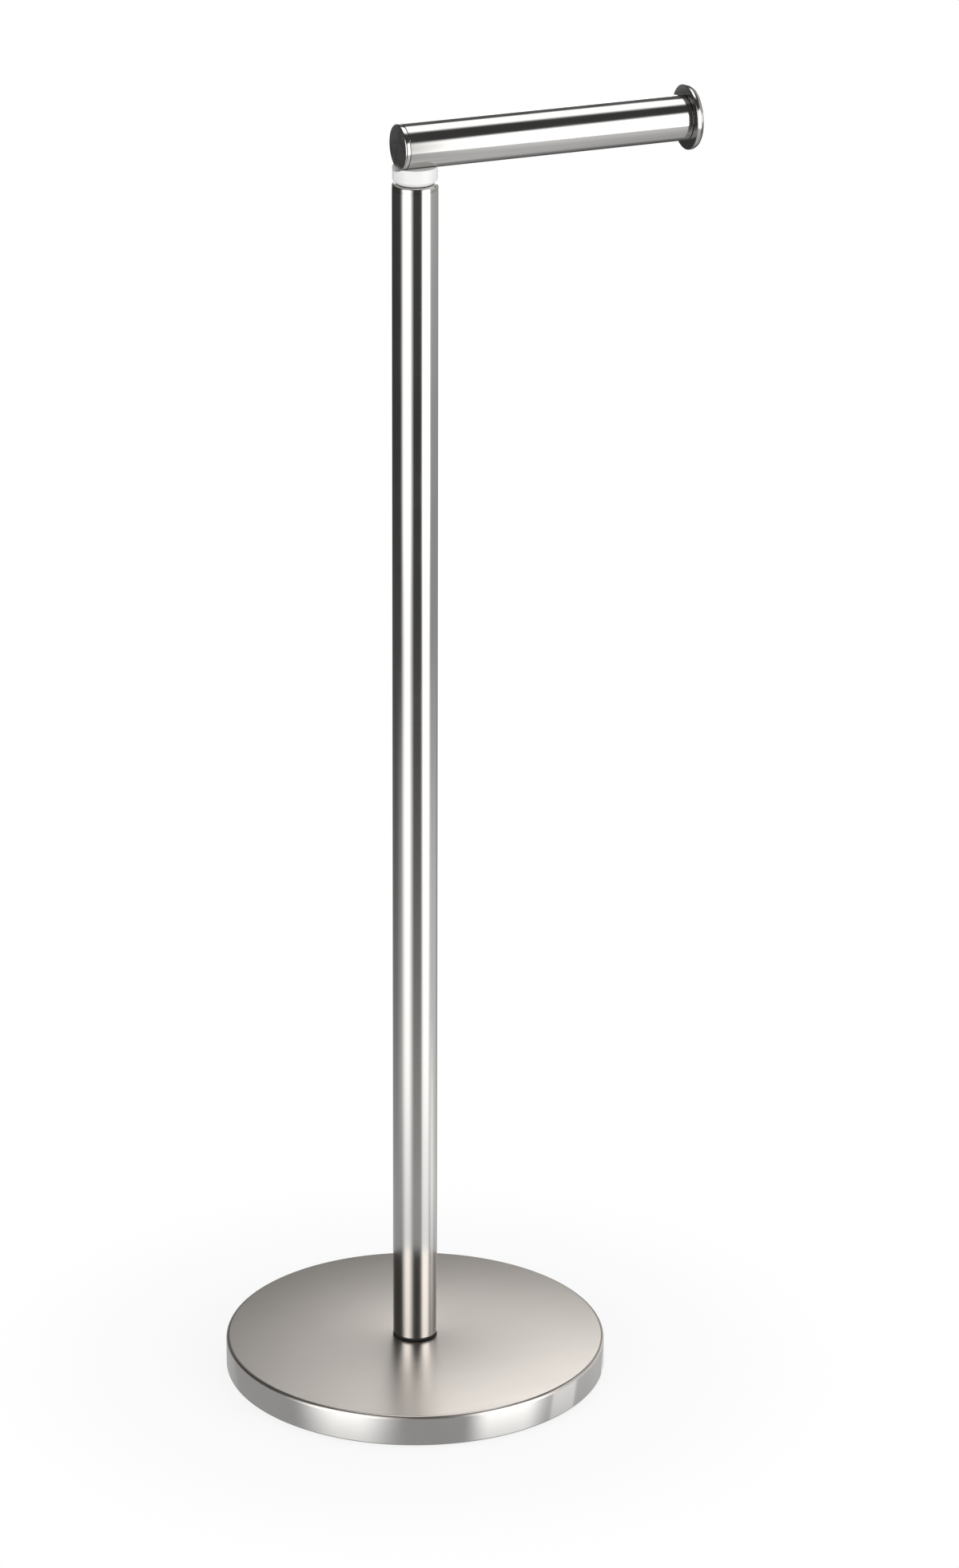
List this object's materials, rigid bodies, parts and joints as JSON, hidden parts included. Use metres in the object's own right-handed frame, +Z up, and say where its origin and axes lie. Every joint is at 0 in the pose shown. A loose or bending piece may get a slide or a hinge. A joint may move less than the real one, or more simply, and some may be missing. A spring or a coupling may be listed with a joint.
{
  "type": "freestanding roll holder",
  "caption": "Freestanding roll holder: heavy round base, upright steel tube and a short flanged roll arm that swivels on top.",
  "frame": {"origin": "middle of the base pad's underside, on the column's axis, at floor level", "axes": "+Z up the column, +X along the roll arm towards its flange at rest, +Y to the left of the arm seen from its near end"},
  "size_m": [0.2376, 0.19, 0.6495],
  "materials": {
    "satin_steel": "satin",
    "polished_steel": "polished",
    "plated_steel": "satin",
    "cast_iron": "matte",
    "white_nylon": "satin",
    "black_rubber": "matte"
  },
  "bodies": {
    "stand": {"base_cover": "satin_steel", "base_weight": "cast_iron", "base_pad": "black_rubber", "column_bolt": "plated_steel", "column_spring_washer": "plated_steel", "column_flat_washer": "plated_steel", "foot_gasket": "black_rubber", "foot_insert": "plated_steel", "column_tube": "polished_steel", "column_cap": "polished_steel", "swivel_bush": "white_nylon"},
    "arm": {"swivel_stud": "plated_steel", "swivel_flat_washer": "plated_steel", "swivel_wave_washer": "plated_steel", "swivel_lock_nut": "plated_steel", "swivel_collar": "white_nylon", "arm_tube": "polished_steel", "arm_end_plug": "polished_steel", "flange_insert": "plated_steel", "arm_flange": "polished_steel"}
  },
  "joints": [
    {"name": "arm_swivel", "type": "hinge", "parent": "stand", "child": "arm", "pos_m": [0, 0, 0.6158], "axis": [0, 0, 1], "continuous": true}
  ]
}
